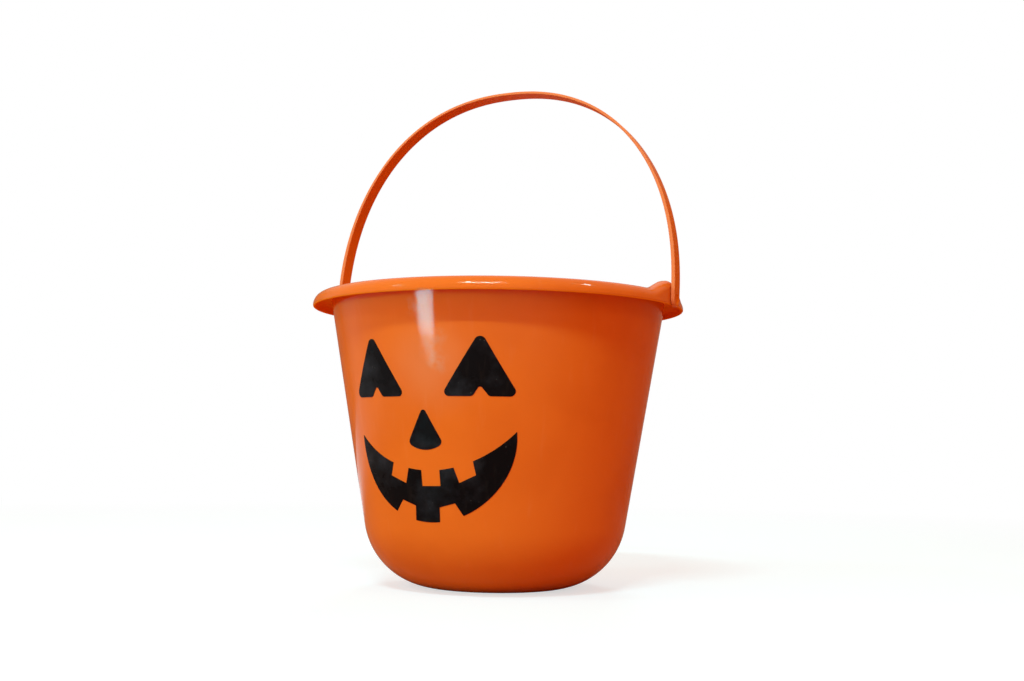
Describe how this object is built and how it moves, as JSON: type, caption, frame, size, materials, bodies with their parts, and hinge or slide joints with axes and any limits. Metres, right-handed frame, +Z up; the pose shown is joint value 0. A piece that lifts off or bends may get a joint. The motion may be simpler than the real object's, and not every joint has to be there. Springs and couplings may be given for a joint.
{
  "type": "pumpkin candy pail",
  "caption": "Round orange moulded plastic candy pail with a rolled rim, hollow ears, a swinging strap handle and a black carved-pumpkin face of thin vinyl stickers",
  "frame": {"origin": "middle of the base, on the plane that the pail stands on", "axes": "+Z up along the pail's axis, -Y out of the face, X along the handle's pivot axis"},
  "size_m": [0.2028, 0.2, 0.2718],
  "materials": {
    "pail_plastic": "glossy moulded polypropylene",
    "handle_plastic": "satin moulded polypropylene",
    "black_vinyl": "semi-gloss vinyl film"
  },
  "bodies": {
    "pail": {"pail_body": "pail_plastic", "right_eye_sticker": "black_vinyl", "left_eye_sticker": "black_vinyl", "nose_sticker": "black_vinyl", "mouth_sticker": "black_vinyl"},
    "handle": {"carry_handle": "handle_plastic"}
  },
  "joints": [
    {"name": "handle_swing", "type": "hinge", "parent": "pail", "child": "handle", "pos_m": [0, 0, 0.151], "axis": [1, 0, 0], "range_deg": [-133.8, 144.4]}
  ]
}
